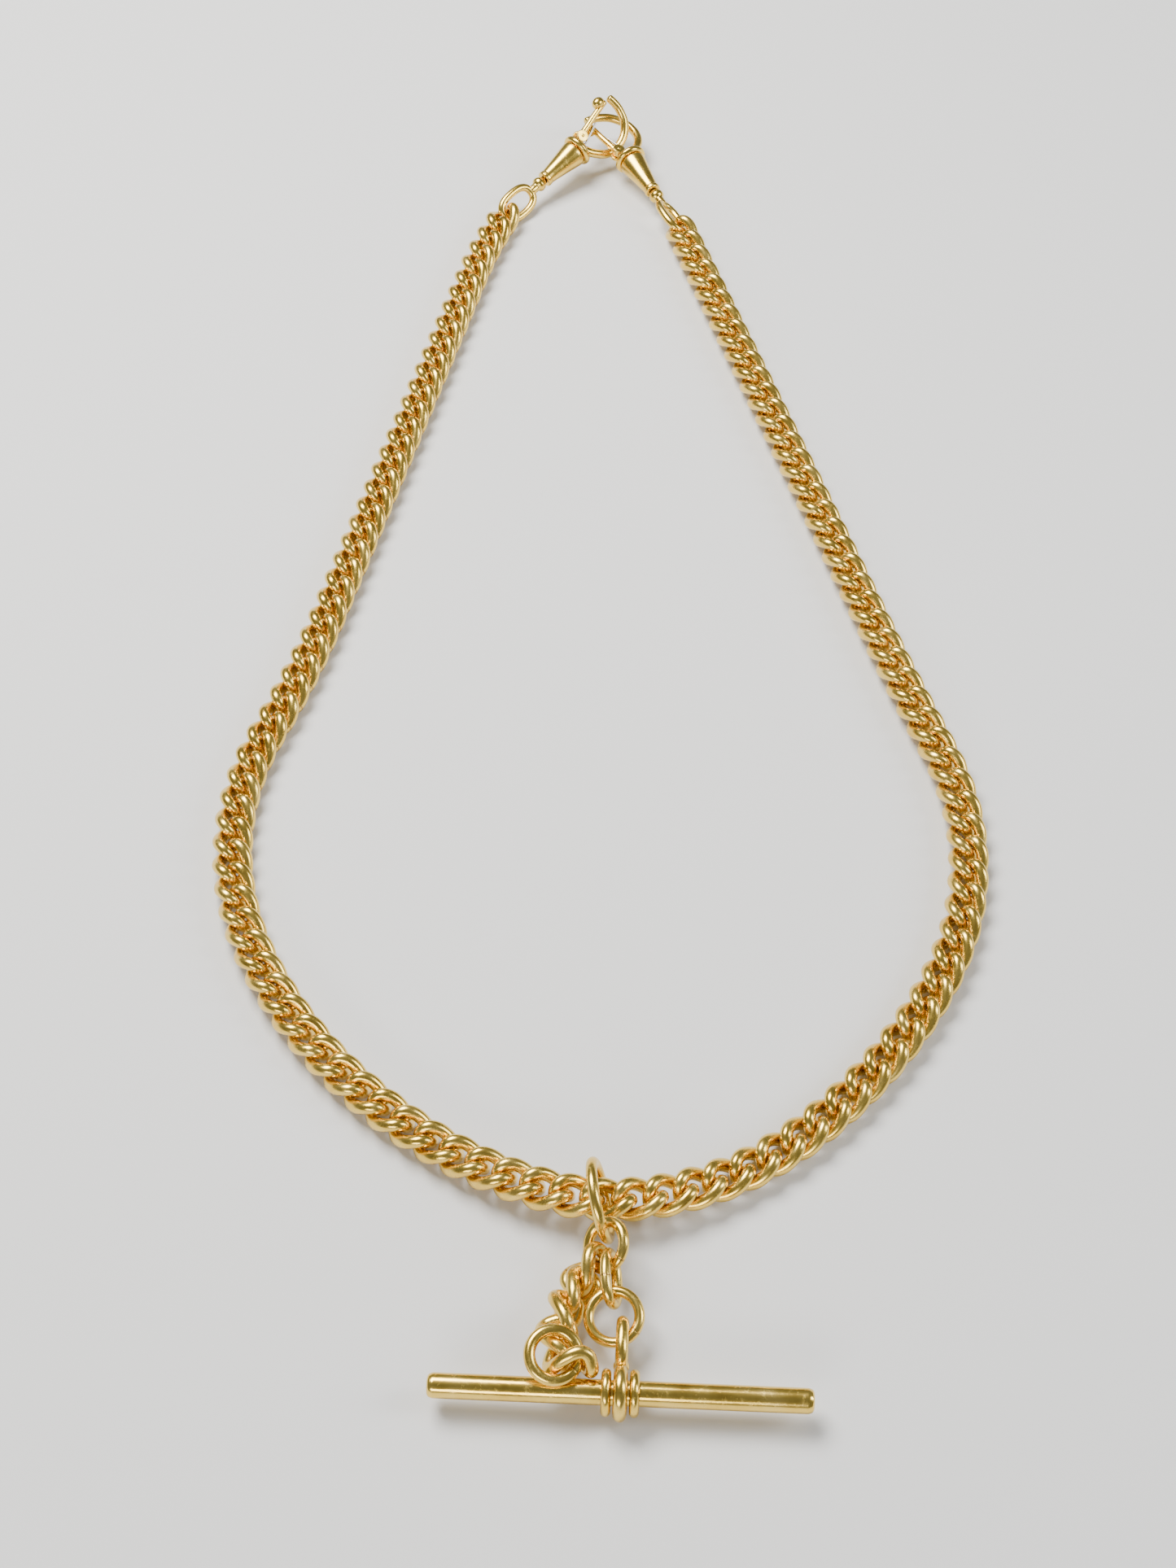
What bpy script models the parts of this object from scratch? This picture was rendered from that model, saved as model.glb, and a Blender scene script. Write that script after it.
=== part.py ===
"""A gold double Albert: a curb-link pocket watch chain with a T-bar, a fob drop and two dog clips.

Model units are metres, +Z is up, and the chain lies on the plane z = 0. Lengths are named in millimetres
and turned into metres where a mesh is made. The chain is a loop: two strands leave the middle, and the
clips on their far ends are hooked into each other.
"""

import math

import bmesh
import bpy
from mathutils import Matrix, Vector

MM = 0.001

# Middle of the chain, seen from the centre of the whole object's footprint.
MIDDLE_X = -1.084
MIDDLE_Y = -78.072

# Curb link: an oval of round wire, twisted about its long axis so that neighbours cross.
PITCH = 3.3
WIRE = 1.3
PLAY = 0.2
LINK_HALF_LENGTH = (PITCH + WIRE + PLAY) / 2
LINK_HALF_WIDTH = 1.65
LINK_SQUARENESS = 2.8
LINK_TWIST = -60.0
LINK_STATIONS = 8
WIRE_SIDES = 5
BEAD_RADIUS = 0.3
BEAD_SINK = 0.3

# Strands: runs of (links, degrees turned at each link), from the middle outwards.
LINKS_PER_STRAND = 56
MIDDLE_LINKS = 4
LINKS_PER_SECTION = 4
LEFT_START = 168.0
LEFT_RUNS = ((2, -6.5), (5, -2.8), (8, -3.2), (10, -4.7), (6, 1.2), (20, 0.0), (4, -2.2))
RIGHT_START = 0.0
RIGHT_RUNS = ((2, 8.0), (5, 4.5), (8, 3.0), (10, 4.6), (6, -0.4), (24, 0.02))
CHAIN_HEIGHT = 1.586
MIDDLE_LIFT = 1.65
LIFTED_LINKS = 6

# Jump rings that carry the bar and the fob drop, from the chain outwards.
RING_STATIONS = 14
RING_SIDES = 6
BIG_RING_RADIUS = 4.0
BIG_RING_WIRE = 0.6
GATHERING_RING_RADIUS = 2.45
GATHERING_RING_WIRE = 0.57
OVAL_RING_HALF_LENGTH = 2.66
OVAL_RING_HALF_WIDTH = 1.8
OVAL_RING_WIRE = 0.55
BAR_RING_RADIUS = 2.6
BAR_RING_WIRE = 0.55
FOB_RING_RADIUS = 2.5
FOB_RING_WIRE = 0.6

# How they lie: centres, and the directions their holes face.
BIG_RING_CENTRE = (-0.26, -78.84, 4.49)
BIG_RING_NORMAL = (0.973, 0.106, 0.203)
GATHERING_CENTRE = (0.28, -83.73, 4.15)
GATHERING_NORMAL = (-0.672, -0.209, 0.711)
BAR_RING_CENTRE = (1.04, -91.2, 3.25)
BAR_RING_NORMAL = (-0.109, -0.232, 0.967)
OVAL_CENTRE = (0.79, -87.33, 3.91)
OVAL_ALONG = (0.026, -0.998, -0.063)
OVAL_NORMAL = (0.939, 0.003, 0.344)
FOB_RING_CENTRE = (-4.96, -96.29, 5.6)
FOB_RING_NORMAL = (0.194, -0.224, 0.955)
# Fob links from the gathering ring down: centre, direction of the length, roll about it.
FOB_LINKS = (
    ((-1.76, -85.55, 2.34), (-0.639, -0.696, -0.328), -113.9),
    ((-2.74, -88.15, 2.15), (-0.517, -0.845, 0.137), -69.9),
    ((-4.05, -91.04, 3.08), (-0.161, -0.95, 0.269), -71.8),
    ((-4.49, -93.94, 3.36), (0.225, -0.971, 0.084), -46.9),
    ((-3.32, -96.42, 4.58), (0.837, -0.289, 0.465), -58.6),
)

# T-bar, the bail that holds it and the two collars that keep it central.
BAR_CENTRE = (1.566, -99.122, 2.796)
BAR_AXIS = (0.9988, -0.049, 0.0)
BAR_LENGTH = 38.4
BAR_RADIUS = 1.27
BAR_SIDES = 12
BAND_RADIUS = 2.12
BAND_WIRE = 0.7
LOOP_REACH = 5.1
LOOP_HALF_LENGTH = 2.3
LOOP_HALF_WIDTH = 1.55
LOOP_WIRE = 0.65
COLLAR_OFFSET = 1.42
COLLAR_RADIUS = 1.86
COLLAR_WIRE = 0.5

# Dog clips, measured along each clip from the joint with the last link; then to the hook's side.
LEFT_CLIP_TURN = 47.02
LEFT_CLIP_RISE = 10.02
LEFT_HOOK_ROLL = 48.6
RIGHT_CLIP_TURN = 117.0
RIGHT_CLIP_RISE = 6.09
RIGHT_HOOK_ROLL = 10.8
EYE_CENTRE = 2.15
EYE_HALF_LENGTH = 2.85
EYE_HALF_WIDTH = 1.7
EYE_WIRE = 0.55
LEFT_EYE_ROLL = 48.4
RIGHT_EYE_ROLL = 40.0
EYE_NECK = ((4.8, 0.5), (5.3, 0.72), (6.2, 0.72), (6.7, 1.0), (7.4, 1.0), (7.65, 0.8), (7.7, 0.45), (10.6, 0.45))
SWIVEL_POINT = 7.9
BARREL = ((10.8, 0.6), (7.9, 0.6), (7.9, 1.15), (9.2, 1.22), (13.9, 1.95), (14.5, 1.95))
CLIP_COLLAR_AT = 15.15
CLIP_COLLAR_RADIUS = 1.88
CLIP_COLLAR_WIRE = 0.5
HOOK_BASE = ((14.55, 1.25), (16.2, 1.25), (16.3, 0.9))
HOOK_PATH = (
    (15.9, -0.55, 0),
    (17.1, -1.95, 0),
    (18.7, -3.25, 0),
    (20.6, -3.7, 0),
    (22.8, -3.1, 0),
    (24.3, -1.6, 0),
    (24.8, 0.2, 0),
    (24.6, 1.6, 0),
)
HOOK_WIRE = 0.65
GATE_PIVOT = (16.9, 1.2)
GATE_PATH = ((17.25, 1.25, 0), (18.8, 1.6, 0), (21.0, 2.15, 0), (23.4, 2.6, 0))
GATE_WIRE = 0.48
GATE_KNOB = (22.5, 3.1, 0)
PIN_RADIUS = 0.2
PIN_BORE = 0.27
SPRING_PATH = ((16.45, -0.2, 0), (17.3, 0.0, 0), (18.3, 0.35, 0), (19.3, 0.75, 0), (20.2, 1.15, 0))
SPRING_WIRE = 0.14

GOLD = (0.86, 0.60, 0.24)
GOLD_ROUGHNESS = 0.18


def clear_scene():
    for obj in list(bpy.data.objects):
        bpy.data.objects.remove(obj, do_unlink=True)


def gold(name):
    """A polished yellow gold of the piece's own."""
    material = bpy.data.materials.new(name)
    material.use_nodes = True
    shader = material.node_tree.nodes["Principled BSDF"]
    shader.inputs["Base Color"].default_value = (*GOLD, 1.0)
    shader.inputs["Metallic"].default_value = 1.0
    shader.inputs["Roughness"].default_value = GOLD_ROUGHNESS
    return material


def power(value, exponent):
    """A signed power, which squares off an ellipse."""
    return math.copysign(abs(value) ** exponent, value)


def heading(degrees, pitch=0.0):
    """A unit vector at a compass heading on the plane, tilted up by pitch degrees."""
    turn = math.radians(degrees)
    tilt = math.radians(pitch)
    return Vector((math.cos(turn) * math.cos(tilt), math.sin(turn) * math.cos(tilt), math.sin(tilt)))


def frame(origin, along, normal):
    """A placing matrix: local x goes along, local z leans to the normal."""
    x = Vector(along).normalized()
    z = Vector(normal)
    z = (z - x * z.dot(x)).normalized()
    y = z.cross(x)
    return Matrix.Translation(Vector(origin)) @ Matrix((x, y, z)).transposed().to_4x4()


def twisted_oval(half_length, half_width, squareness, twist, stations):
    points = []
    for i in range(stations):
        angle = 2 * math.pi * i / stations
        x = half_length * power(math.cos(angle), 2 / squareness)
        y = half_width * power(math.sin(angle), 2 / squareness)
        turn = math.radians(twist) * x / half_length
        points.append(Vector((x, y * math.cos(turn), y * math.sin(turn))))
    return points


def circle(radius, stations, height=0.0):
    angles = [2 * math.pi * i / stations for i in range(stations)]
    return [Vector((radius * math.cos(a), radius * math.sin(a), height)) for a in angles]


def smooth_path(points, count):
    """A Catmull-Rom curve through the points, as count evenly spaced steps of its parameter."""
    spread = [Vector(p) for p in points]
    spread = [2 * spread[0] - spread[1]] + spread + [2 * spread[-1] - spread[-2]]
    out = []
    for i in range(count):
        u = i * (len(points) - 1) / (count - 1)
        k = min(int(u), len(points) - 2)
        t = u - k
        a, b, c, d = spread[k : k + 4]
        out.append(
            0.5 * (2 * b + (c - a) * t + (2 * a - 5 * b + 4 * c - d) * t**2 + (3 * b - a - 3 * c + d) * t**3)
        )
    return out


def tube(bm, path, radius, sides, closed, matrix):
    """Sweeps a round wire along the path. Radius may be one number or one for each point."""
    count = len(path)
    radii = [radius] * count if isinstance(radius, (int, float)) else list(radius)
    tangents = []
    for i in range(count):
        ahead = path[(i + 1) % count] if closed else path[min(i + 1, count - 1)]
        behind = path[i - 1] if closed else path[max(i - 1, 0)]
        tangents.append((ahead - behind).normalized())
    side = tangents[0].orthogonal().normalized()
    sides_at = [side]
    for i in range(1, count):
        turned = tangents[i - 1].rotation_difference(tangents[i])
        side = turned @ side
        side = (side - tangents[i] * side.dot(tangents[i])).normalized()
        sides_at.append(side)
    slip = 0.0
    if closed:
        last = tangents[-1].rotation_difference(tangents[0]) @ sides_at[-1]
        slip = math.atan2(last.cross(sides_at[0]).dot(tangents[0]), last.dot(sides_at[0]))
    rings = []
    for i in range(count):
        across = tangents[i].cross(sides_at[i])
        ring = []
        for j in range(sides):
            angle = 2 * math.pi * j / sides + slip * i / count
            offset = sides_at[i] * math.cos(angle) + across * math.sin(angle)
            ring.append(bm.verts.new(matrix @ (path[i] + offset * radii[i])))
        rings.append(ring)
    for i in range(count if closed else count - 1):
        this, after = rings[i], rings[(i + 1) % count]
        for j in range(sides):
            k = (j + 1) % sides
            bm.faces.new((this[j], this[k], after[k], after[j]))
    if not closed:
        bm.faces.new(list(reversed(rings[0])))
        bm.faces.new(rings[-1])


def revolve(bm, profile, sides, matrix):
    """Turns a (distance along x, radius) profile about the local x axis and closes both ends."""
    rings = []
    for x, radius in profile:
        ring = []
        for j in range(sides):
            angle = 2 * math.pi * j / sides
            ring.append(bm.verts.new(matrix @ Vector((x, radius * math.cos(angle), radius * math.sin(angle)))))
        rings.append(ring)
    for this, after in zip(rings, rings[1:]):
        for j in range(sides):
            k = (j + 1) % sides
            bm.faces.new((this[j], this[k], after[k], after[j]))
    bm.faces.new(list(reversed(rings[0])))
    bm.faces.new(rings[-1])


def finish_mesh(bm, name, origin):
    """Moves the mesh's own origin to the joint point and makes it a data block in metres."""
    bmesh.ops.transform(bm, matrix=Matrix.Translation(-Vector(origin)), verts=bm.verts)
    bmesh.ops.scale(bm, vec=(MM, MM, MM), verts=bm.verts)
    bmesh.ops.recalc_face_normals(bm, faces=bm.faces)
    for face in bm.faces:
        face.smooth = True
    mesh = bpy.data.meshes.new(name)
    bm.to_mesh(mesh)
    bm.free()
    return mesh


def put(name, mesh, origin, material=True):
    obj = bpy.data.objects.new(name, mesh)
    obj.location = Vector(origin) * MM
    bpy.context.scene.collection.objects.link(obj)
    if material:
        mesh.materials.append(gold(name))
    return obj


def join_bodies(obj, parts, origin):
    """Unites helper meshes, each one closed, into the object's own body."""
    if not parts:
        return
    group = bpy.data.collections.new(obj.name + "_parts")
    bpy.context.scene.collection.children.link(group)
    for index, bm in enumerate(parts):
        helper_name = obj.name + "_part" + str(index)
        helper = bpy.data.objects.new(helper_name, finish_mesh(bm, helper_name, origin))
        helper.location = Vector(origin) * MM
        helper.hide_render = True
        helper.display_type = "WIRE"
        group.objects.link(helper)
    union = obj.modifiers.new("join", "BOOLEAN")
    union.operation = "UNION"
    union.solver = "EXACT"
    union.operand_type = "COLLECTION"
    union.collection = group


def piece(name, origin, bodies):
    """One node: the first closed body, with the others united into it."""
    obj = put(name, finish_mesh(bodies[0], name, origin), origin)
    join_bodies(obj, bodies[1:], origin)
    return obj


def closed_wire(path, radius, sides, matrix):
    bm = bmesh.new()
    tube(bm, path, radius, sides, True, matrix)
    return bm


def open_wire(path, radius, sides, matrix):
    bm = bmesh.new()
    tube(bm, path, radius, sides, False, matrix)
    return bm


def turned(profile, sides, matrix):
    bm = bmesh.new()
    revolve(bm, profile, sides, matrix)
    return bm


def link_height(index):
    """Height of the chain's axis: it hangs up over the big ring in the middle."""
    reach = min(index - 0.5, LIFTED_LINKS) / LIFTED_LINKS
    return CHAIN_HEIGHT + MIDDLE_LIFT * math.cos(math.pi * reach / 2) ** 2


def strand(start, runs):
    """(centre, along) of every link of one strand, from the middle outwards."""
    turns = [turn for links, turn in runs for _ in range(links)]
    headings = [start]
    for turn in turns[: LINKS_PER_STRAND - 1]:
        headings.append(headings[-1] + turn)
    spot = Vector((MIDDLE_X, MIDDLE_Y, 0))
    placed = []
    for index, degrees in enumerate(headings):
        half = heading(degrees) * PITCH / 2
        spot = spot + half
        low = link_height(index + 0.5)
        high = link_height(index + 1.5)
        tilt = math.degrees(math.atan2(high - low, PITCH))
        centre = Vector((spot.x, spot.y, (low + high) / 2))
        placed.append((centre, heading(degrees, tilt)))
        spot = spot + half
    return placed


LINK_PATH = twisted_oval(LINK_HALF_LENGTH, LINK_HALF_WIDTH, LINK_SQUARENESS, LINK_TWIST, LINK_STATIONS)


def link_frame(centre, along, roll=0.0):
    """A link lies flat: its own z points up, turned by roll degrees about its length."""
    return frame(centre, along, (0, 0, 1)) @ Matrix.Rotation(math.radians(roll), 4, "X")


def link_body(matrix):
    return closed_wire(LINK_PATH, WIRE / 2, WIRE_SIDES, matrix)


def bead_body(this, after):
    """The solder spot where a link's end wire lies against the next link's end wire."""
    start = after[0] - after[1] * LINK_HALF_LENGTH
    end = this[0] + this[1] * LINK_HALF_LENGTH
    along = (end - start).normalized()
    middle = (start + end) / 2
    half = (LINK_HALF_LENGTH * 2 - PITCH - WIRE) / 2 + BEAD_SINK
    profile = ((-half, BEAD_RADIUS), (half, BEAD_RADIUS))
    return turned(profile, 4, frame(middle, along, (0.3, 0.2, 1)))


def joint_point(this):
    """Where a link holds the next one outwards: half a pitch on from its centre."""
    return this[0] + this[1] * PITCH / 2


def section_bodies(links):
    bodies = [link_body(link_frame(*spot)) for spot in links]
    for this, after in zip(links, links[1:]):
        bodies.append(bead_body(this, after))
    return bodies


def build_chain():
    """The two strands, each link a section's own; returns the outermost joint points."""
    left = strand(LEFT_START, LEFT_RUNS)
    right = strand(RIGHT_START, RIGHT_RUNS)
    across = [(centre, -along) for centre, along in reversed(left[:MIDDLE_LINKS])]
    middle = across + right[:MIDDLE_LINKS]
    piece("middle_links", (MIDDLE_X, MIDDLE_Y, link_height(0.5)), section_bodies(middle))
    for side, links in (("left", left), ("right", right)):
        for first in range(MIDDLE_LINKS, LINKS_PER_STRAND, LINKS_PER_SECTION):
            section = links[first : first + LINKS_PER_SECTION]
            number = first // LINKS_PER_SECTION
            name = f"{side}_section_{number:02d}"
            piece(name, joint_point(links[first - 1]), section_bodies(section))
    return joint_point(left[-1]), joint_point(right[-1])


def placed_ring(name, radius, wire_radius, centre, normal):
    """A plain round jump ring."""
    place = frame(centre, Vector(normal).orthogonal(), normal)
    return piece(name, centre, [closed_wire(circle(radius, RING_STATIONS), wire_radius, RING_SIDES, place)])


def at(place, x, y=0.0, z=0.0):
    return place @ Vector((x, y, z))


def build_drop():
    """The rings under the middle of the chain, the T-bar on them and the short fob chain beside it."""
    placed_ring("big_ring", BIG_RING_RADIUS, BIG_RING_WIRE, BIG_RING_CENTRE, BIG_RING_NORMAL)
    placed_ring("gathering_ring", GATHERING_RING_RADIUS, GATHERING_RING_WIRE, GATHERING_CENTRE, GATHERING_NORMAL)
    oval = twisted_oval(OVAL_RING_HALF_LENGTH, OVAL_RING_HALF_WIDTH, 2.2, 0.0, RING_STATIONS)
    place = frame(OVAL_CENTRE, OVAL_ALONG, OVAL_NORMAL)
    piece("oval_ring", OVAL_CENTRE, [closed_wire(oval, OVAL_RING_WIRE, RING_SIDES, place)])
    placed_ring("bar_ring", BAR_RING_RADIUS, BAR_RING_WIRE, BAR_RING_CENTRE, BAR_RING_NORMAL)
    for number, (centre, along, roll) in enumerate(FOB_LINKS, 1):
        spot = link_frame(centre, along, roll)
        body = closed_wire(LINK_PATH, WIRE / 2, WIRE_SIDES, spot)
        piece(f"fob_link_{number}", centre, [body])
    placed_ring("fob_ring", FOB_RING_RADIUS, FOB_RING_WIRE, FOB_RING_CENTRE, FOB_RING_NORMAL)


def build_bar():
    """The T-bar turns in the bail's band, between two collars fixed on the bar."""
    centre = Vector(BAR_CENTRE)
    axis = Vector(BAR_AXIS)
    bail = frame(centre, Vector((0, 0, 1)).cross(axis), axis)
    band = closed_wire(circle(BAND_RADIUS, 16), BAND_WIRE, 6, bail)
    loop_path = twisted_oval(LOOP_HALF_LENGTH, LOOP_HALF_WIDTH, 2.3, 0.0, 14)
    loop = closed_wire(loop_path, LOOP_WIRE, 6, bail @ Matrix.Translation((LOOP_REACH, 0, 0)))
    piece("bail", at(bail, LOOP_REACH + LOOP_HALF_LENGTH), [band, loop])
    bar = frame(centre, axis, (0, 0, 1))
    half = BAR_LENGTH / 2
    profile = (
        (-half, BAR_RADIUS - 0.35),
        (-half + 0.15, BAR_RADIUS - 0.12),
        (-half + 0.5, BAR_RADIUS),
        (half - 0.5, BAR_RADIUS),
        (half - 0.15, BAR_RADIUS - 0.12),
        (half, BAR_RADIUS - 0.35),
    )
    piece("t_bar", centre, [turned(profile, BAR_SIDES, bar)])
    for side, offset in (("left", -COLLAR_OFFSET), ("right", COLLAR_OFFSET)):
        place = frame(centre + axis * offset, (0, 0, 1), axis)
        wire = closed_wire(circle(COLLAR_RADIUS, 14), COLLAR_WIRE, 5, place)
        piece(f"bar_collar_{side}", centre + axis * offset, [wire])


def lug(place, s, t, low, high, outer, bore):
    """A flat ring about the gate's pivot line: closed, with a hole for the pin."""
    bm = bmesh.new()
    rings = []
    for height, radius in ((low, bore), (low, outer), (high, outer), (high, bore)):
        ring = []
        for j in range(10):
            angle = 2 * math.pi * j / 10
            spot = Vector((s + radius * math.cos(angle), t + radius * math.sin(angle), height))
            ring.append(bm.verts.new(place @ spot))
        rings.append(ring)
    for i in range(4):
        this, after = rings[i], rings[(i + 1) % 4]
        for j in range(10):
            k = (j + 1) % 10
            bm.faces.new((this[j], this[k], after[k], after[j]))
    return bm


def build_clip(side, joint, turn, rise, eye_roll, hook_roll):
    """A swivel dog clip: an eye on the chain, and a barrel, hook and sprung gate that turn on it."""
    along = heading(turn, rise)
    eye = frame(joint, along, (0, 0, 1)) @ Matrix.Rotation(math.radians(eye_roll), 4, "X")
    hook = frame(joint, along, (0, 0, 1)) @ Matrix.Rotation(math.radians(hook_roll), 4, "X")
    loop_path = twisted_oval(EYE_HALF_LENGTH, EYE_HALF_WIDTH, 2.5, 0.0, 14)
    loop = closed_wire(loop_path, EYE_WIRE, 6, eye @ Matrix.Translation((EYE_CENTRE, 0, 0)))
    neck = turned(EYE_NECK, 8, eye)
    piece(f"{side}_clip_eye", joint, [loop, neck])
    start = at(hook, SWIVEL_POINT)
    piece(f"{side}_clip_barrel", start, [turned(BARREL, 12, hook)])
    turn_collar = hook @ Matrix.Translation((CLIP_COLLAR_AT, 0, 0)) @ Matrix.Rotation(math.radians(90), 4, "Y")
    collar = closed_wire(circle(CLIP_COLLAR_RADIUS, 14), CLIP_COLLAR_WIRE, 5, turn_collar)
    piece(f"{side}_clip_collar", start, [collar])
    base = turned(HOOK_BASE, 12, hook)
    wire = open_wire(smooth_path(HOOK_PATH, 13), HOOK_WIRE, 6, hook)
    lugs = [lug(hook, *GATE_PIVOT, low, low + 0.4, 0.9, PIN_BORE) for low in (-0.9, 0.5)]
    piece(f"{side}_clip_hook", start, [base, wire, *lugs])
    pivot = at(hook, *GATE_PIVOT)
    hub = lug(hook, *GATE_PIVOT, -0.38, 0.38, 0.52, PIN_BORE)
    lever = open_wire(smooth_path(GATE_PATH, 4), GATE_WIRE, 6, hook)
    knob_place = hook @ Matrix.Translation(GATE_KNOB)
    knob = turned(((-0.95, 0.3), (-0.6, 0.7), (0.0, 0.88), (0.6, 0.7), (0.95, 0.3)), 8, knob_place)
    piece(f"{side}_clip_gate", pivot, [hub, lever, knob])
    pin_place = hook @ Matrix.Translation((*GATE_PIVOT, 0)) @ Matrix.Rotation(math.radians(90), 4, "Y")
    pin = turned(((-0.9, PIN_RADIUS), (0.9, PIN_RADIUS)), 8, pin_place)
    piece(f"{side}_clip_gate_pin", pivot, [pin])
    spring = open_wire(smooth_path(SPRING_PATH, 6), SPRING_WIRE, 4, hook)
    piece(f"{side}_clip_gate_spring", pivot, [spring])


clear_scene()
left_end, right_end = build_chain()
build_drop()
build_bar()
build_clip("left", left_end, LEFT_CLIP_TURN, LEFT_CLIP_RISE, LEFT_EYE_ROLL, LEFT_HOOK_ROLL)
build_clip("right", right_end, RIGHT_CLIP_TURN, RIGHT_CLIP_RISE, RIGHT_EYE_ROLL, RIGHT_HOOK_ROLL)
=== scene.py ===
import math

import bmesh
import bpy
from mathutils import Matrix, Vector


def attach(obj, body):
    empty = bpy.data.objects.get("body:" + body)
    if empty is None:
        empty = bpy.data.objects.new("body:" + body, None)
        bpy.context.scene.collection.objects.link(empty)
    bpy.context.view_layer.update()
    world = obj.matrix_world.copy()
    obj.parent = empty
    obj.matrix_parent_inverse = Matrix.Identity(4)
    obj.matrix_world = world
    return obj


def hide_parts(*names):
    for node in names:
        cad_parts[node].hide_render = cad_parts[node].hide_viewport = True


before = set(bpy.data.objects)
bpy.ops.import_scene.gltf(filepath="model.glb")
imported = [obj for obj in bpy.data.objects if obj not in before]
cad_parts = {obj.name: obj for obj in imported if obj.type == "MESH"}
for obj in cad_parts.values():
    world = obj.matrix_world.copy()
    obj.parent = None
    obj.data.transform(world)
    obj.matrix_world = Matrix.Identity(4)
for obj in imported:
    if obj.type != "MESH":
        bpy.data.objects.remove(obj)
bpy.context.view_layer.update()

MM = 0.001
DOME_STEPS = (0.35, 0.7, 0.93)
DOME_HEIGHT = 0.55

# ---- the chain's own sizes, in millimetres, as the CAD has them
PITCH = 3.3
LINK_HALF_LENGTH = 2.4
LINK_HALF_WIDTH = 1.65
LINK_WIRE = 0.71
LINKS_PER_STRAND = 56
LINKS_PER_SECTION = 4
MIDDLE = (-1.084, -78.072)
HEIGHT = 1.586
LIFT = 1.65
LIFTED_LINKS = 6
LEFT = (168.0, ((2, -6.5), (5, -2.8), (8, -3.2), (10, -4.7), (6, 1.2), (20, 0.0), (4, -2.2)))
RIGHT = (0.0, ((2, 8.0), (5, 4.5), (8, 3.0), (10, 4.6), (6, -0.4), (24, 0.02)))
RINGS = (
    ("big_ring", 4.0, 0.6, (-0.26, -78.84, 4.49), (0.973, 0.106, 0.203)),
    ("gathering_ring", 2.45, 0.57, (0.28, -83.73, 4.15), (-0.672, -0.209, 0.711)),
    ("bar_ring", 2.6, 0.55, (1.04, -91.2, 3.25), (-0.109, -0.232, 0.967)),
    ("fob_ring", 2.5, 0.6, (-4.96, -96.29, 5.6), (0.194, -0.224, 0.955)),
)
OVAL = ((0.79, -87.33, 3.91), (0.026, -0.998, -0.063), (0.939, 0.003, 0.344))
FOB = (
    ((-1.76, -85.55, 2.34), (-0.639, -0.696, -0.328), -113.9),
    ((-2.74, -88.15, 2.15), (-0.517, -0.845, 0.137), -69.9),
    ((-4.05, -91.04, 3.08), (-0.161, -0.95, 0.269), -71.8),
    ((-4.49, -93.94, 3.36), (0.225, -0.971, 0.084), -46.9),
    ((-3.32, -96.42, 4.58), (0.837, -0.289, 0.465), -58.6),
)
BAR_CENTRE = (1.566, -99.122, 2.796)
BAR_AXIS = (0.9988, -0.049, 0.0)
CLIPS = {
    "left": dict(turn=47.02, rise=10.02, eye=48.4, hook=48.6),
    "right": dict(turn=117.0, rise=6.09, eye=40.0, hook=10.8),
}


# ---- curves and meshes
def power(value, exponent):
    return math.copysign(abs(value) ** exponent, value)


def heading(degrees, pitch=0.0):
    turn, tilt = math.radians(degrees), math.radians(pitch)
    return Vector((math.cos(turn) * math.cos(tilt), math.sin(turn) * math.cos(tilt), math.sin(tilt)))


def placing(origin, along, normal):
    x = Vector(along).normalized()
    z = Vector(normal)
    z = (z - x * z.dot(x)).normalized()
    return Matrix.Translation(Vector(origin)) @ Matrix((x, z.cross(x), z)).transposed().to_4x4()


def evenly(points, count, closed):
    """The same curve with its points evenly spaced."""
    ring = points + [points[0]] if closed else points
    lengths = [0.0]
    for a, b in zip(ring, ring[1:]):
        lengths.append(lengths[-1] + (b - a).length)
    out, k = [], 0
    steps = count if closed else count - 1
    for i in range(count):
        want = lengths[-1] * i / steps
        while k < len(ring) - 2 and lengths[k + 1] < want:
            k += 1
        part = (want - lengths[k]) / max(lengths[k + 1] - lengths[k], 1e-9)
        out.append(ring[k].lerp(ring[k + 1], min(max(part, 0), 1)))
    return out


def oval(half_length, half_width, squareness, twist=0.0, count=48):
    points = []
    for i in range(720):
        angle = 2 * math.pi * i / 720
        x = half_length * power(math.cos(angle), 2 / squareness)
        y = half_width * power(math.sin(angle), 2 / squareness)
        turn = math.radians(twist) * x / half_length
        points.append(Vector((x, y * math.cos(turn), y * math.sin(turn))))
    return evenly(points, count, True)


def smooth_path(points, count):
    spread = [Vector(p) for p in points]
    spread = [2 * spread[0] - spread[1]] + spread + [2 * spread[-1] - spread[-2]]
    out = []
    for i in range(400):
        u = i * (len(points) - 1) / 399
        k = min(int(u), len(points) - 2)
        t = u - k
        a, b, c, d = spread[k:k + 4]
        square = 2 * a - 5 * b + 4 * c - d
        cube = 3 * b - a - 3 * c + d
        out.append(0.5 * (2 * b + (c - a) * t + square * t**2 + cube * t**3))
    return evenly(out, count, False)


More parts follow.
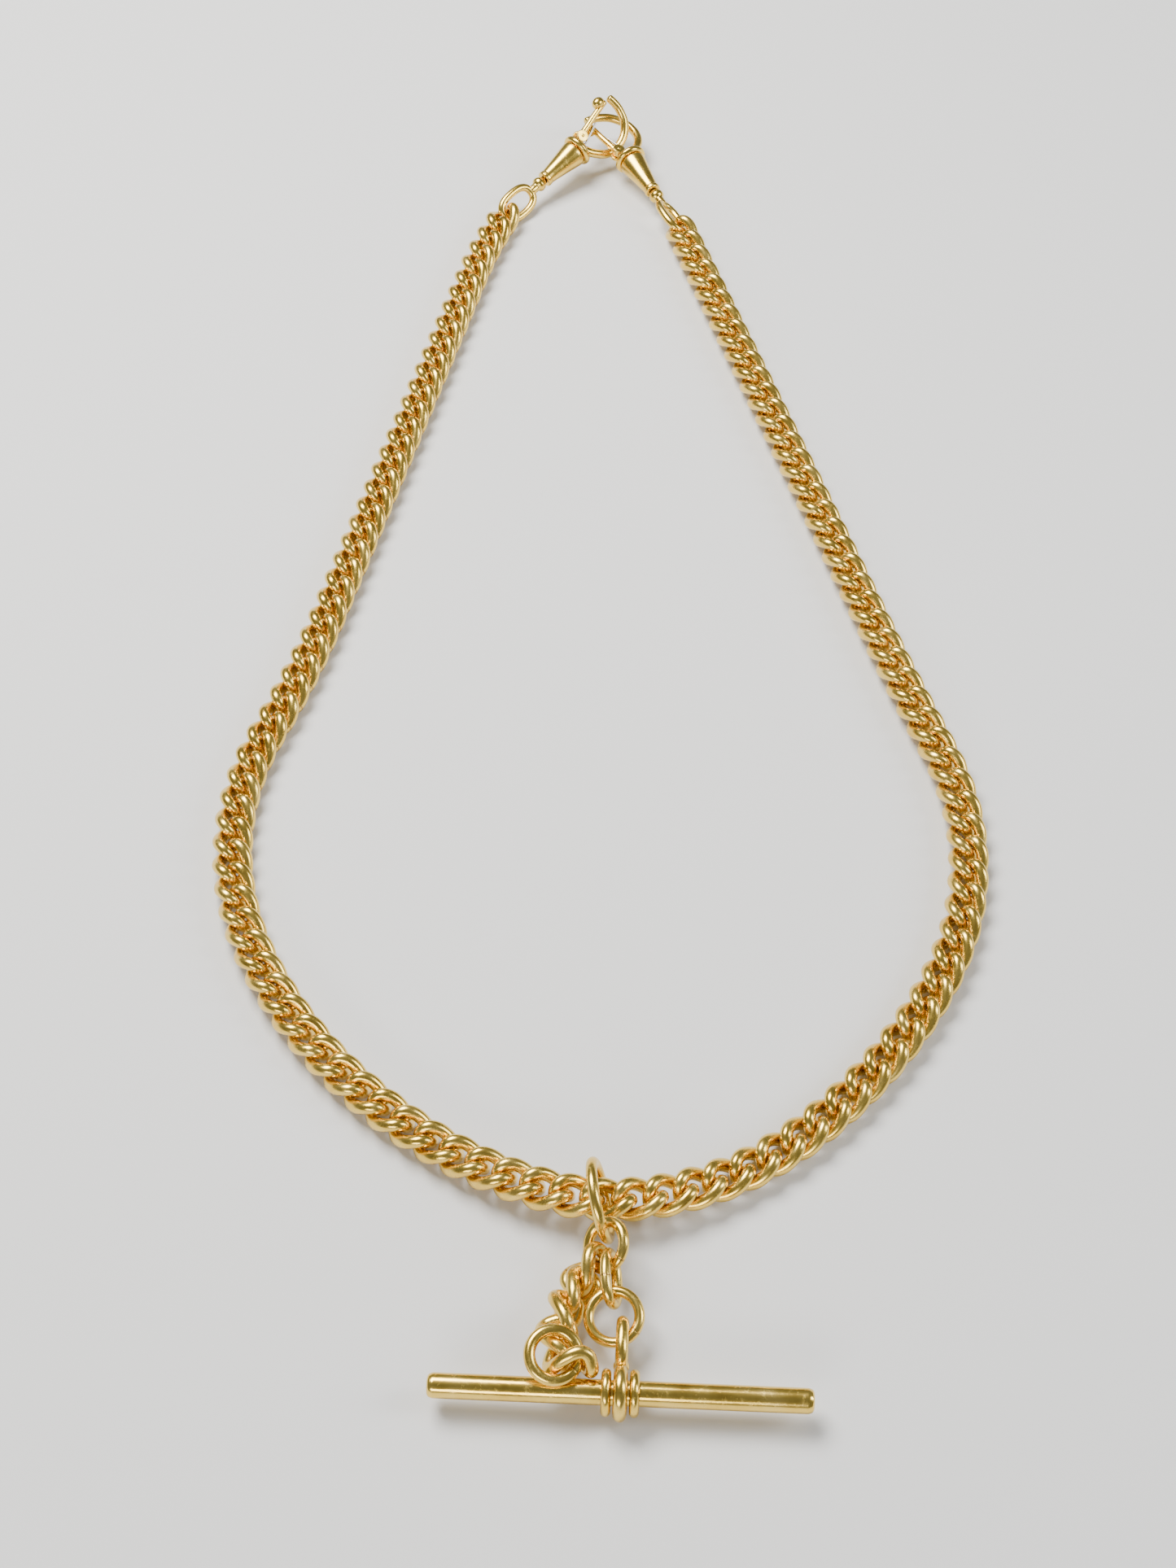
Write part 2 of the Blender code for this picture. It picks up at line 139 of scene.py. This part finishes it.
def tube(path, radius, sides, closed):
    """(points, faces) of a wire along the path. radius is a number, or a function of how far along it is."""
    count = len(path)
    tangents = []
    for i in range(count):
        ahead = path[(i + 1) % count] if closed else path[min(i + 1, count - 1)]
        behind = path[i - 1] if closed else path[max(i - 1, 0)]
        tangents.append((ahead - behind).normalized())
    side = tangents[0].orthogonal().normalized()
    sides_at = [side]
    for i in range(1, count):
        side = tangents[i - 1].rotation_difference(tangents[i]) @ side
        side = (side - tangents[i] * side.dot(tangents[i])).normalized()
        sides_at.append(side)
    slip = 0.0
    if closed:
        last = tangents[-1].rotation_difference(tangents[0]) @ sides_at[-1]
        slip = math.atan2(last.cross(sides_at[0]).dot(tangents[0]), last.dot(sides_at[0]))
    points, faces = [], []
    for i in range(count):
        across = tangents[i].cross(sides_at[i])
        r = radius(i / count if closed else i / (count - 1)) if callable(radius) else radius
        for j in range(sides):
            angle = 2 * math.pi * j / sides + slip * i / count
            spoke = sides_at[i] * (math.cos(angle) * r) + across * (math.sin(angle) * r)
            points.append(path[i] + spoke)
    for i in range(count if closed else count - 1):
        a, b = i * sides, (i + 1) % count * sides
        for j in range(sides):
            k = (j + 1) % sides
            faces.append((a + j, a + k, b + k, b + j))
    if not closed:
        for start, flip in ((0, True), (count - 1, False)):
            centre = path[start]
            r = radius(start / (count - 1)) if callable(radius) else radius
            rim = start * sides
            last = [rim + j for j in range(sides)]
            for step in DOME_STEPS:
                ring = []
                out = tangents[start] * (-1 if flip else 1)
                for j in range(sides):
                    spot = points[rim + j] - centre
                    ring.append(len(points))
                    points.append(centre + spot * math.sqrt(1 - step**2) + out * (step * r * DOME_HEIGHT))
                for j in range(sides):
                    k = (j + 1) % sides
                    quad = (last[j], last[k], ring[k], ring[j])
                    faces.append(tuple(reversed(quad)) if flip else quad)
                last = ring
            faces.append(tuple(reversed(last)) if flip else tuple(last))
    return points, faces


def turned(profile, sides=48):
    """(points, faces) of a closed profile of (distance, radius) turned about local x."""
    points, faces = [], []
    for x, r in profile:
        for j in range(sides):
            angle = 2 * math.pi * j / sides
            points.append(Vector((x, r * math.cos(angle), r * math.sin(angle))))
    for i in range(len(profile) - 1):
        a, b = i * sides, (i + 1) * sides
        for j in range(sides):
            k = (j + 1) % sides
            faces.append((a + j, a + k, b + k, b + j))
    faces.append(tuple(reversed(range(sides))))
    faces.append(tuple(range(len(points) - sides, len(points))))
    return points, faces


def rounded(profile, radius=0.12, steps=4):
    """The profile with each inner corner rounded off by up to that radius."""
    out = [profile[0]]
    for before, here, after in zip(profile, profile[1:], profile[2:]):
        h = Vector(here)
        a, b = Vector(before) - h, Vector(after) - h
        cut = min(radius, a.length * 0.45, b.length * 0.45)
        start, end = h + a.normalized() * cut, h + b.normalized() * cut
        for i in range(steps + 1):
            t = i / steps
            p = start.lerp(h, t).lerp(h.lerp(end, t), t)
            out.append((p.x, p.y))
    out.append(profile[-1])
    return out


def merged(*bodies):
    """Several closed bodies as one mesh. Each body may come with a placing matrix."""
    points, faces = [], []
    for body in bodies:
        (p, f), matrix = body if isinstance(body[1], Matrix) else (body, Matrix.Identity(4))
        base = len(points)
        points += [matrix @ q for q in p]
        faces += [tuple(base + i for i in face) for face in f]
    return points, faces


def mesh_of(name, body):
    points, faces = body
    mesh = bpy.data.meshes.new(name)
    mesh.from_pydata([tuple(p * MM) for p in points], [], faces)
    mesh.update()
    bm = bmesh.new()
    bm.from_mesh(mesh)
    bmesh.ops.recalc_face_normals(bm, faces=bm.faces)
    for face in bm.faces:
        face.smooth = True
    bm.to_mesh(mesh)
    bm.free()
    return mesh


def piece(name, mesh, place, body, nodes, material):
    obj = bpy.data.objects.new(name, mesh)
    in_metres = place.copy()
    in_metres.translation = place.translation * MM
    obj.matrix_world = in_metres
    bpy.context.scene.collection.objects.link(obj)
    if not mesh.materials:
        mesh.materials.append(material)
    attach(obj, body)
    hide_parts(*nodes)


# ---- materials
SEAM_COLOUR = (0.42, 0.23, 0.06, 1.0)
SEAM_HALF_WIDTHS = (0.00003, 0.00012)
SEAM_WAVER = 0.00035


def gold(name, tint=1.0, rough=0.17, seam=None, scratches=0.6):
    """Polished yellow gold with faint polishing lines, handling scratches, dulled patches and, where a
    seam is given as (distance along x, side of y), one soldered joint."""
    material = bpy.data.materials.new(name)
    material.use_nodes = True
    nodes, links = material.node_tree.nodes, material.node_tree.links
    shader = nodes["Principled BSDF"]
    shader.inputs["Metallic"].default_value = 1.0

    def node(kind, **values):
        made = nodes.new(kind)
        for key, value in values.items():
            if key in made.inputs:
                made.inputs[key].default_value = value
            else:
                setattr(made, key, value)
        return made

    where = node("ShaderNodeTexCoord")
    info = node("ShaderNodeObjectInfo")
    shift = node("ShaderNodeVectorMath", operation="ADD")
    spread = node("ShaderNodeMath", operation="MULTIPLY")
    spread.inputs[1].default_value = 0.35
    links.new(info.outputs["Random"], spread.inputs[0])
    links.new(where.outputs["Object"], shift.inputs[0])
    links.new(spread.outputs[0], shift.inputs[1])

    def noise(scale, detail, rough_by, stretch=None):
        source = shift.outputs[0]
        if stretch:
            mapping = node("ShaderNodeMapping")
            mapping.inputs["Scale"].default_value = stretch
            links.new(source, mapping.inputs["Vector"])
            source = mapping.outputs["Vector"]
        made = node("ShaderNodeTexNoise", Scale=scale, Detail=detail, Roughness=rough_by)
        links.new(source, made.inputs["Vector"])
        return made.outputs["Fac"]

    def ramp(source, *stops):
        made = node("ShaderNodeValToRGB")
        while len(made.color_ramp.elements) < len(stops):
            made.color_ramp.elements.new(0.5)
        for element, (at, colour) in zip(made.color_ramp.elements, stops):
            element.position = at
            element.color = (*(colour if isinstance(colour, tuple) else (colour,) * 3), 1.0)
        links.new(source, made.inputs["Fac"])
        return made.outputs["Color"]

    patches = noise(420.0, 3.0, 0.55)
    colour = ramp(
        patches,
        (0.25, (0.74 * tint, 0.47 * tint, 0.075 * tint)),
        (0.5, (0.86 * tint, 0.59 * tint, 0.115 * tint)),
        (0.8, (0.93 * tint, 0.67 * tint, 0.18 * tint)),
    )
    lines = noise(2600.0, 2.0, 0.6, (0.12, 1.0, 1.0))
    grain = noise(7000.0, 2.0, 0.6)
    scuffs = ramp(noise(1500.0, 4.0, 0.7), (0.55, 0.0), (0.72, 1.0))
    dull = node("ShaderNodeMath", operation="MULTIPLY_ADD")
    dull.inputs[1].default_value = 0.16
    dull.inputs[2].default_value = rough
    links.new(patches, dull.inputs[0])
    more = node("ShaderNodeMath", operation="MULTIPLY_ADD")
    more.inputs[1].default_value = 0.14
    links.new(scuffs, more.inputs[0])
    links.new(dull.outputs[0], more.inputs[2])
    rough_out = more.outputs[0]

    height = node("ShaderNodeMath", operation="MULTIPLY_ADD")
    height.inputs[1].default_value = 0.35
    links.new(lines, height.inputs[0])
    links.new(patches, height.inputs[2])
    height_out = height.outputs[0]
    fine = node("ShaderNodeMath", operation="MULTIPLY_ADD")
    fine.inputs[1].default_value = 0.12 * scratches
    links.new(grain, fine.inputs[0])
    links.new(height_out, fine.inputs[2])
    height_out = fine.outputs[0]

    if seam:
        axes = node("ShaderNodeSeparateXYZ")
        links.new(where.outputs["Object"], axes.inputs[0])
        bend = node("ShaderNodeMath", operation="MULTIPLY_ADD")
        bend.inputs[1].default_value = SEAM_WAVER
        bend.inputs[2].default_value = -seam[0] * MM - 0.00017
        links.new(grain, bend.inputs[0])
        away = node("ShaderNodeMath", operation="ADD")
        links.new(axes.outputs["X"], away.inputs[0])
        links.new(bend.outputs[0], away.inputs[1])
        size = node("ShaderNodeMath", operation="ABSOLUTE")
        links.new(away.outputs[0], size.inputs[0])
        line = node("ShaderNodeMapRange", interpolation_type="SMOOTHSTEP")
        line.inputs["From Min"].default_value = SEAM_HALF_WIDTHS[0]
        line.inputs["From Max"].default_value = SEAM_HALF_WIDTHS[1]
        line.inputs["To Min"].default_value = 1.0
        line.inputs["To Max"].default_value = 0.0
        links.new(size.outputs[0], line.inputs["Value"])
        sided = node("ShaderNodeMath", operation="GREATER_THAN" if seam[1] > 0 else "LESS_THAN")
        sided.inputs[1].default_value = 0.0
        links.new(axes.outputs["Y"], sided.inputs[0])
        both = node("ShaderNodeMath", operation="MULTIPLY")
        links.new(line.outputs[0], both.inputs[0])
        links.new(sided.outputs[0], both.inputs[1])
        dark = node("ShaderNodeMix", data_type="RGBA")
        for socket in dark.inputs:
            if socket.name == "A" and socket.type == "RGBA":
                links.new(colour, socket)
            if socket.name == "B" and socket.type == "RGBA":
                socket.default_value = SEAM_COLOUR
        links.new(both.outputs[0], dark.inputs["Factor"])
        colour = [s for s in dark.outputs if s.type == "RGBA"][0]
        sunk = node("ShaderNodeMath", operation="MULTIPLY_ADD")
        sunk.inputs[1].default_value = -1.4
        links.new(both.outputs[0], sunk.inputs[0])
        links.new(height_out, sunk.inputs[2])
        height_out = sunk.outputs[0]

    bump = node("ShaderNodeBump", Strength=0.32, Distance=0.00005)
    links.new(height_out, bump.inputs["Height"])
    links.new(bump.outputs["Normal"], shader.inputs["Normal"])
    links.new(colour, shader.inputs["Base Color"])
    links.new(rough_out, shader.inputs["Roughness"])
    return material


LINK_GOLD = gold("link_gold", seam=(1.35, 1))
RING_GOLD = gold("ring_gold", rough=0.15, seam=(0.4, -1))
BAR_GOLD = gold("bar_gold", tint=1.02, rough=0.13, scratches=1.0)
CLIP_GOLD = gold("clip_gold", rough=0.15)

STEEL = bpy.data.materials.new("spring_steel")
STEEL.use_nodes = True
steel = STEEL.node_tree.nodes["Principled BSDF"]
steel.inputs["Metallic"].default_value = 1.0
steel_noise = STEEL.node_tree.nodes.new("ShaderNodeTexNoise")
steel_noise.inputs["Scale"].default_value = 900.0
steel_ramp = STEEL.node_tree.nodes.new("ShaderNodeValToRGB")
steel_ramp.color_ramp.elements[0].color = (0.36, 0.36, 0.38, 1)
steel_ramp.color_ramp.elements[1].color = (0.62, 0.62, 0.64, 1)
STEEL.node_tree.links.new(steel_noise.outputs["Fac"], steel_ramp.inputs["Fac"])
STEEL.node_tree.links.new(steel_ramp.outputs["Color"], steel.inputs["Base Color"])
steel.inputs["Roughness"].default_value = 0.3


# ---- the chain, link by link
def height(k):
    """Height of the strand after k links: it rises towards the middle, where the big ring lifts it."""
    share = min(k - 0.5, LIFTED_LINKS) / LIFTED_LINKS
    return HEIGHT + LIFT * math.cos(math.pi / 2 * share) ** 2


def strand(start, runs):
    headings = [start]
    turns = [turn for links, turn in runs for _ in range(links)]
    for turn in turns[:LINKS_PER_STRAND - 1]:
        headings.append(headings[-1] + turn)
    spot = Vector((*MIDDLE, 0))
    out = []
    for index, degrees in enumerate(headings):
        half = heading(degrees) * PITCH / 2
        spot = spot + half
        low, high = height(index + 0.5), height(index + 1.5)
        tilt = math.degrees(math.atan2(high - low, PITCH))
        out.append((Vector((spot.x, spot.y, (low + high) / 2)), heading(degrees, tilt)))
        spot = spot + half
    return out


def link_radius(t):
    """The wire is a touch fuller along the two lobes than at the ends."""
    return LINK_WIRE * (1.0 - 0.035 * math.cos(4 * math.pi * t))


link_path = oval(LINK_HALF_LENGTH, LINK_HALF_WIDTH, 2.8, -60.0, 56)
LINK_MESH = mesh_of("curb_link", tube(link_path, link_radius, 20, True))


def lie(centre, along, roll=0.0):
    return placing(centre, along, (0, 0, 1)) @ Matrix.Rotation(math.radians(roll), 4, "X")


ends = {}
for side, (start, runs) in (("left", LEFT), ("right", RIGHT)):
    links = strand(start, runs)
    for index, (centre, along) in enumerate(links):
        section = index // LINKS_PER_SECTION
        body = "middle" if section == 0 else f"level_{section:02d}"
        node = "middle_links" if section == 0 else f"{side}_section_{section:02d}"
        way = -along if side == "left" else along
        name = f"{side}_link_{index + 1:02d}"
        piece(name, LINK_MESH, lie(centre, way), body, [node], LINK_GOLD)
    ends[side] = links[-1][0] + links[-1][1] * PITCH / 2

for number, (centre, along, roll) in enumerate(FOB, 1):
    name = f"fob_link_{number}"
    place = lie(centre, along, roll)
    piece("fine_" + name, LINK_MESH, place, name, [name], LINK_GOLD)

# ---- rings
for name, radius, wire, centre, normal in RINGS:
    place = placing(centre, Vector(normal).orthogonal(), normal)
    body = tube(oval(radius, radius * 0.995, 2.0, 0.0, 72), wire, 24, True)
    mesh = mesh_of(name, body)
    piece("fine_" + name, mesh, place, name, [name], RING_GOLD)
place = placing(*OVAL)
body = tube(oval(2.66, 1.8, 2.2, 0.0, 72), 0.55, 24, True)
mesh = mesh_of("oval_ring", body)
piece("fine_oval_ring", mesh, place, "oval_ring", ["oval_ring"], RING_GOLD)

# ---- bail, bar and collars
axis = Vector(BAR_AXIS)
bail = placing(BAR_CENTRE, Vector((0, 0, 1)).cross(axis), axis)
band = tube(oval(2.12, 2.12, 2.0, 0.0, 64), 0.7, 24, True)
loop = tube(oval(2.3, 1.55, 2.3, 0.0, 64), 0.65, 24, True)
neck = turned(rounded(((2.35, 0.5), (2.5, 0.8), (2.95, 0.82), (3.25, 0.66), (3.3, 0.5)), 0.2), 32)
body = merged(band, (loop, Matrix.Translation((5.1, 0, 0))), neck)
piece("fine_bail", mesh_of("bail", body), bail, "bail", ["bail"], RING_GOLD)
bar = placing(BAR_CENTRE, axis, (0, 0, 1))
half = 19.2
radius = 1.27
profile = [(-half, 0.02), (-half, 0.9), (-half + 0.16, 1.13), (-half + 0.55, radius)]
profile += [(x, radius) for x in range(-16, 17, 4)]
profile += [(half - 0.55, radius), (half - 0.16, 1.13), (half, 0.9), (half, 0.02)]
mesh = mesh_of("t_bar", turned(rounded(profile, 0.14, 5), 64))
piece("fine_t_bar", mesh, bar, "t_bar", ["t_bar"], BAR_GOLD)
for side, offset in (("left", -1.42), ("right", 1.42)):
    collar = placing(Vector(BAR_CENTRE) + axis * offset, (0, 0, 1), axis)
    body = tube(oval(1.86, 1.86, 2.0, 0.0, 64), 0.5, 20, True)
    name = f"bar_collar_{side}"
    piece("fine_" + name, mesh_of(name, body), collar, "t_bar", [name], RING_GOLD)

# ---- dog clips
HOOK_PATH = (
    (15.9, -0.55, 0), (17.1, -1.95, 0), (18.7, -3.25, 0), (20.6, -3.7, 0),
    (22.8, -3.1, 0), (24.3, -1.6, 0), (24.8, 0.2, 0), (24.75, 1.5, 0), (24.5, 2.5, 0),
)
GATE_PATH = ((17.25, 1.25, 0), (18.8, 1.6, 0), (21.0, 2.15, 0), (23.4, 2.6, 0))
SPRING_PATH = ((16.45, -0.2, 0), (17.3, 0.0, 0), (18.3, 0.35, 0), (19.3, 0.75, 0), (20.2, 1.15, 0))
PIVOT = (16.9, 1.2)


def lug(low, high, outer):
    """A solid drum about the gate's pivot line; its pin shows as a domed head on it."""
    drum = turned(rounded(((low, 0.05), (low, outer), (high, outer), (high, 0.05)), 0.1), 32)
    return drum, Matrix.Translation((*PIVOT, 0)) @ Matrix.Rotation(math.radians(-90), 4, "Y")


def clip_piece(side, part, body, place, group, node, material=CLIP_GOLD):
    mesh = mesh_of(f"{side}_{part}", body)
    piece(f"fine_{side}_{part}", mesh, place, group, [f"{side}_clip_{node}"], material)


def hook_radius(t):
    """The hook's wire is fullest where it leaves the base, and thins a little to its tip."""
    return 0.66 - 0.05 * t + 0.12 * max(0, 0.12 - t) / 0.12


def lever_radius(t):
    return 0.5 - 0.06 * t


SHANK = (
    (4.7, 0.3), (5.0, 0.66), (5.7, 0.68), (6.15, 0.66), (6.45, 0.98), (6.85, 1.08), (7.25, 0.98),
    (7.45, 0.7), (7.72, 0.66), (7.75, 0.42), (10.4, 0.42),
)
BARREL = (
    (10.8, 0.56), (7.98, 0.56), (7.9, 0.72), (7.9, 1.05), (8.05, 1.18), (8.5, 1.18),
    (8.62, 1.1), (9.4, 1.2), (12.0, 1.6), (13.9, 1.93), (14.3, 1.96), (14.5, 1.86),
)
HOOK_BASE = ((14.55, 0.1), (14.55, 1.28), (16.05, 1.28), (16.25, 1.1), (16.35, 0.1))
PIN = ((-1.0, 0.02), (-0.97, 0.2), (-0.9, 0.28), (0.9, 0.28), (0.97, 0.2), (1.0, 0.02))
KNOB = (
    (-0.95, 0.08), (-0.9, 0.4), (-0.6, 0.7), (-0.2, 0.86),
    (0.2, 0.86), (0.6, 0.7), (0.9, 0.4), (0.95, 0.08),
)

for side, clip in CLIPS.items():
    along = heading(clip["turn"], clip["rise"])
    eye = lie(ends[side], along, clip["eye"])
    hook = lie(ends[side], along, clip["hook"])
    group = f"{side}_barrel"
    ring = tube(oval(2.85, 1.7, 2.5, 0.0, 64), 0.56, 24, True)
    body = merged((ring, Matrix.Translation((2.15, 0, 0))), turned(rounded(SHANK, 0.14), 40))
    clip_piece(side, "eye", body, eye, "clip_eyes", "eye")
    clip_piece(side, "barrel", turned(rounded(BARREL, 0.1), 56), hook, group, "barrel")
    across = Matrix.Rotation(math.radians(90), 4, "Y")
    body = tube(oval(1.88, 1.88, 2.0, 0.0, 64), 0.5, 20, True)
    place = hook @ Matrix.Translation((15.15, 0, 0)) @ across
    clip_piece(side, "collar", body, place, group, "collar", RING_GOLD)
    base = turned(rounded(HOOK_BASE, 0.18), 48)
    wire = tube(smooth_path(HOOK_PATH, 56), hook_radius, 24, False)
    body = merged(base, wire, lug(-0.9, -0.5, 0.88), lug(0.5, 0.9, 0.88))
    clip_piece(side, "hook", body, hook, group, "hook")
    place = hook @ Matrix.Translation((*PIVOT, 0)) @ across
    clip_piece(side, "gate_pin", turned(rounded(PIN, 0.05), 24), place, group, "gate_pin", RING_GOLD)
    lever = tube(smooth_path(GATE_PATH, 30), lever_radius, 20, False)
    knob = turned(rounded(KNOB, 0.12), 32)
    body = merged(lug(-0.38, 0.38, 0.54), lever, (knob, Matrix.Translation((22.5, 3.1, 0))))
    clip_piece(side, "gate", body, hook, f"{side}_gate", "gate")
    leaf = tube(smooth_path(SPRING_PATH, 24), 0.14, 12, False)
    clip_piece(side, "spring", leaf, hook, group, "gate_spring", STEEL)

# ---- floor, light and camera
floor_mesh = bpy.data.meshes.new("floor")
FLOOR_Z = -0.0002
corners = [(-2, -2, FLOOR_Z), (2, -2, FLOOR_Z), (2, 2, FLOOR_Z), (-2, 2, FLOOR_Z)]
floor_mesh.from_pydata(corners, [], [(0, 1, 2, 3)])
floor = bpy.data.objects.new("floor", floor_mesh)
bpy.context.scene.collection.objects.link(floor)
paper = bpy.data.materials.new("floor")
paper.use_nodes = True
paper.node_tree.nodes["Principled BSDF"].inputs["Base Color"].default_value = (0.74, 0.74, 0.73, 1)
paper.node_tree.nodes["Principled BSDF"].inputs["Roughness"].default_value = 0.85
floor_mesh.materials.append(paper)

world = bpy.data.worlds.new("studio")
bpy.context.scene.world = world
world.use_nodes = True
world.node_tree.nodes["Background"].inputs["Color"].default_value = (0.80, 0.84, 0.90, 1)
world.node_tree.nodes["Background"].inputs["Strength"].default_value = 0.24


def area(name, where, target, width, depth, power_w, colour=(1, 1, 1)):
    light = bpy.data.lights.new(name, "AREA")
    light.shape = "RECTANGLE"
    light.size = width
    light.size_y = depth
    light.energy = power_w
    light.color = colour
    obj = bpy.data.objects.new(name, light)
    obj.location = where
    obj.rotation_euler = (Vector(target) - Vector(where)).to_track_quat("-Z", "Y").to_euler()
    bpy.context.scene.collection.objects.link(obj)


area("key", (-0.16, 0.16, 0.42), (0, 0, 0), 0.30, 0.22, 5.0, (1.0, 0.98, 0.95))
area("fill", (0.45, -0.05, 0.30), (0, 0, 0), 0.16, 0.30, 1.6, (0.95, 0.97, 1.0))
area("front", (-0.15, -0.50, 0.20), (0, -0.05, 0), 0.30, 0.10, 1.2, (1.0, 0.97, 0.93))

camera = bpy.data.cameras.new("camera")
camera.sensor_fit = "HORIZONTAL"
camera.sensor_width = 36.0
camera.lens = 2900 / 1445 * 36.0
camera.clip_start = 0.01
camera.clip_end = 20.0
eye = bpy.data.objects.new("camera", camera)
tilt = Matrix.Rotation(math.radians(90 - 52.77), 4, "X") @ Matrix.Rotation(math.radians(-0.26), 4, "Z")
eye.matrix_world = Matrix.Translation((-0.001344, -0.192492, 0.225436)) @ tilt
bpy.context.scene.collection.objects.link(eye)
bpy.context.scene.camera = eye

bpy.context.view_layer.update()
